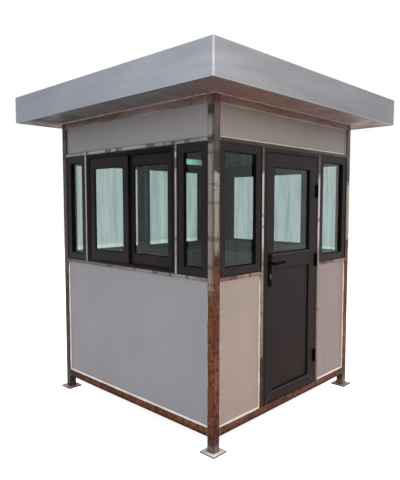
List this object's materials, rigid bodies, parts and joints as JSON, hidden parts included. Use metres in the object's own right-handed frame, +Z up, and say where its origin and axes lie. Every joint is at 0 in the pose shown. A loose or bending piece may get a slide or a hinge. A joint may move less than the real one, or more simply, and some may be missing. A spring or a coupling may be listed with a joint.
{
  "type": "guard booth",
  "caption": "Square steel-framed guard booth on four feet, glazed on all sides, with a hinged half-glass door and an overhanging flat box roof",
  "frame": {"origin": "On the ground, at the middle of the plan, which is also the middle of the roof", "axes": "+Z is up. The door is in the -Y face and the sliding windows are in the -X and +X faces"},
  "size_m": [2.454, 2.384, 2.635],
  "materials": {
    "base_plates": "flat mild steel plates, worn bright",
    "corner_posts": "polished square tube with copper-red rust bloom in the lower half",
    "bottom_rails": "polished tube, copper-red rust bloom",
    "top_rails": "polished tube, dulled",
    "head_rails": "polished slim tube with dark blotches",
    "sill_rails": "polished slim tube with dark blotches",
    "door_posts": "polished slim tube",
    "window_mullions": "polished slim tube",
    "front_upper_panel": "smooth sheet, browner at its top",
    "back_upper_panel": "smooth sheet",
    "left_upper_panel": "smooth sheet",
    "right_upper_panel": "smooth sheet",
    "front_lower_panels": "smooth sheet",
    "left_lower_panel": "smooth sheet",
    "right_lower_panel": "smooth sheet",
    "back_lower_panel": "smooth sheet",
    "front_window_frames": "dark brown powder coat",
    "back_window_frames": "dark brown powder coat",
    "front_window_glass": "clear float glass, slightly green",
    "back_window_glass": "clear float glass, slightly green",
    "door_frame": "dark brown powder coat",
    "hinge_frame_halves": "black hinges",
    "floor_deck": "board deck",
    "floor_joists": "primed bar",
    "ceiling_panel": "pale grey lining",
    "roof_soffit": "smooth sheet, dulled",
    "roof_cover": "smooth sheet",
    "wall_lamp": "diffusing lamp cover, pale green-white, lit",
    "left_fixed_window_frames": "dark brown powder coat",
    "left_sliding_window_frame": "dark brown powder coat",
    "left_outer_sash": "dark brown powder coat",
    "left_inner_sash": "dark brown powder coat",
    "left_window_glass": "clear float glass, slightly green",
    "right_fixed_window_frames": "dark brown powder coat",
    "right_sliding_window_frame": "dark brown powder coat",
    "right_outer_sash": "dark brown powder coat",
    "right_inner_sash": "dark brown powder coat",
    "right_window_glass": "clear float glass, slightly green",
    "front_fascia": "silver-grey folded sheet",
    "back_fascia": "silver-grey folded sheet",
    "left_fascia": "silver-grey folded sheet",
    "right_fascia": "silver-grey folded sheet",
    "door_leaf": "dark brown powder coat",
    "door_glass": "clear float glass, slightly green",
    "door_lower_panel": "dark brown powder coat",
    "door_handle_plates": "black",
    "door_lock_cylinder": "nickel",
    "hinge_leaf_halves": "black hinges",
    "door_lever": "black"
  },
  "bodies": {
    "booth": {"base_plates": "base_plates", "corner_posts": "corner_posts", "bottom_rails": "bottom_rails", "top_rails": "top_rails", "head_rails": "head_rails", "sill_rails": "sill_rails", "door_posts": "door_posts", "window_mullions": "window_mullions", "front_upper_panel": "front_upper_panel", "back_upper_panel": "back_upper_panel", "left_upper_panel": "left_upper_panel", "right_upper_panel": "right_upper_panel", "front_lower_panels": "front_lower_panels", "left_lower_panel": "left_lower_panel", "right_lower_panel": "right_lower_panel", "back_lower_panel": "back_lower_panel", "front_window_frames": "front_window_frames", "back_window_frames": "back_window_frames", "front_window_glass": "front_window_glass", "back_window_glass": "back_window_glass", "door_frame": "door_frame", "hinge_frame_halves": "hinge_frame_halves", "floor_deck": "floor_deck", "floor_joists": "floor_joists", "ceiling_panel": "ceiling_panel", "roof_soffit": "roof_soffit", "roof_cover": "roof_cover", "wall_lamp": "wall_lamp", "left_fixed_window_frames": "left_fixed_window_frames", "left_sliding_window_frame": "left_sliding_window_frame", "left_outer_sash": "left_outer_sash", "left_inner_sash": "left_inner_sash", "left_window_glass": "left_window_glass", "right_fixed_window_frames": "right_fixed_window_frames", "right_sliding_window_frame": "right_sliding_window_frame", "right_outer_sash": "right_outer_sash", "right_inner_sash": "right_inner_sash", "right_window_glass": "right_window_glass", "front_fascia": "front_fascia", "back_fascia": "back_fascia", "left_fascia": "left_fascia", "right_fascia": "right_fascia"},
    "door": {"door_leaf": "door_leaf", "door_glass": "door_glass", "door_lower_panel": "door_lower_panel", "door_handle_plates": "door_handle_plates", "door_lock_cylinder": "door_lock_cylinder", "hinge_leaf_halves": "hinge_leaf_halves"},
    "door_lever": {"door_lever": "door_lever"}
  },
  "joints": [
    {"name": "door_swing", "type": "hinge", "parent": "booth", "child": "door", "pos_m": [0.3495, -0.9325, 1.1], "axis": [0, 0, 1], "range_deg": [0, 110]},
    {"name": "door_lever_turn", "type": "hinge", "parent": "door", "child": "door_lever", "pos_m": [-0.303, -0.9, 1.252], "axis": [0, 1, 0], "range_deg": [0, 45], "stiffness_Nm_per_rad": 1.2, "springref_deg": -28.65}
  ]
}
